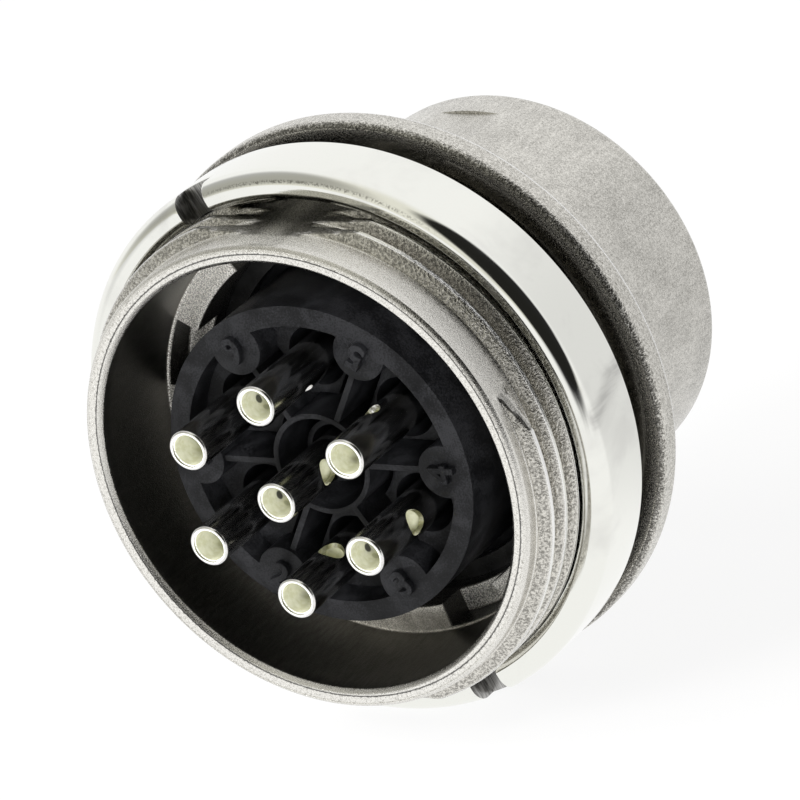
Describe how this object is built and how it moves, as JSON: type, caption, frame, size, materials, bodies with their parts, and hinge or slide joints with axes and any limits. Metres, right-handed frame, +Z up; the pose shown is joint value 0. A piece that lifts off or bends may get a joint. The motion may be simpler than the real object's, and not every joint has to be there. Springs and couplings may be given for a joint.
{
  "type": "circular din panel plug",
  "caption": "Round metal panel plug with a threaded rear, clamping ring nut, smooth mating barrel and open wire cups in a black insert.",
  "frame": {"origin": "on the plug's axis, in the flange face that bears on the panel", "axes": "+Y along the axis to the mating side, -Y to the wire side, +Z up through one of the thread's two flats"},
  "size_m": [0.0332, 0.0292, 0.0332],
  "materials": {
    "cast_nickel": "matte nickel plate on a fine-grained die casting",
    "polished_nickel": "bright nickel plate on turned brass, faintly brushed",
    "black_moulding": "black glass-filled moulding with a fine texture",
    "silver_plate": "bright silver plate on turned brass",
    "spring_bronze": "bare spring bronze",
    "spring_steel": "bright spring steel",
    "seal_rubber": "matte black rubber"
  },
  "bodies": {
    "connector": {"housing": "cast_nickel", "contact_carrier": "black_moulding", "pin_insulator": "black_moulding", "insert_seal": "seal_rubber", "snap_ring": "spring_steel", "contact_1": "silver_plate", "contact_2": "silver_plate", "contact_3": "silver_plate", "contact_4": "silver_plate", "contact_5": "silver_plate", "contact_6": "silver_plate", "contact_middle": "silver_plate", "clip_1": "spring_bronze", "clip_2": "spring_bronze", "clip_3": "spring_bronze", "clip_4": "spring_bronze", "clip_5": "spring_bronze", "clip_6": "spring_bronze", "clip_middle": "spring_bronze"},
    "ring_nut": {"ring_nut": "polished_nickel"}
  },
  "joints": [
    {"name": "ring_nut_turn", "type": "hinge", "parent": "connector", "child": "ring_nut", "pos_m": [0, 0, 0], "axis": [0, 1, 0], "continuous": true}
  ]
}
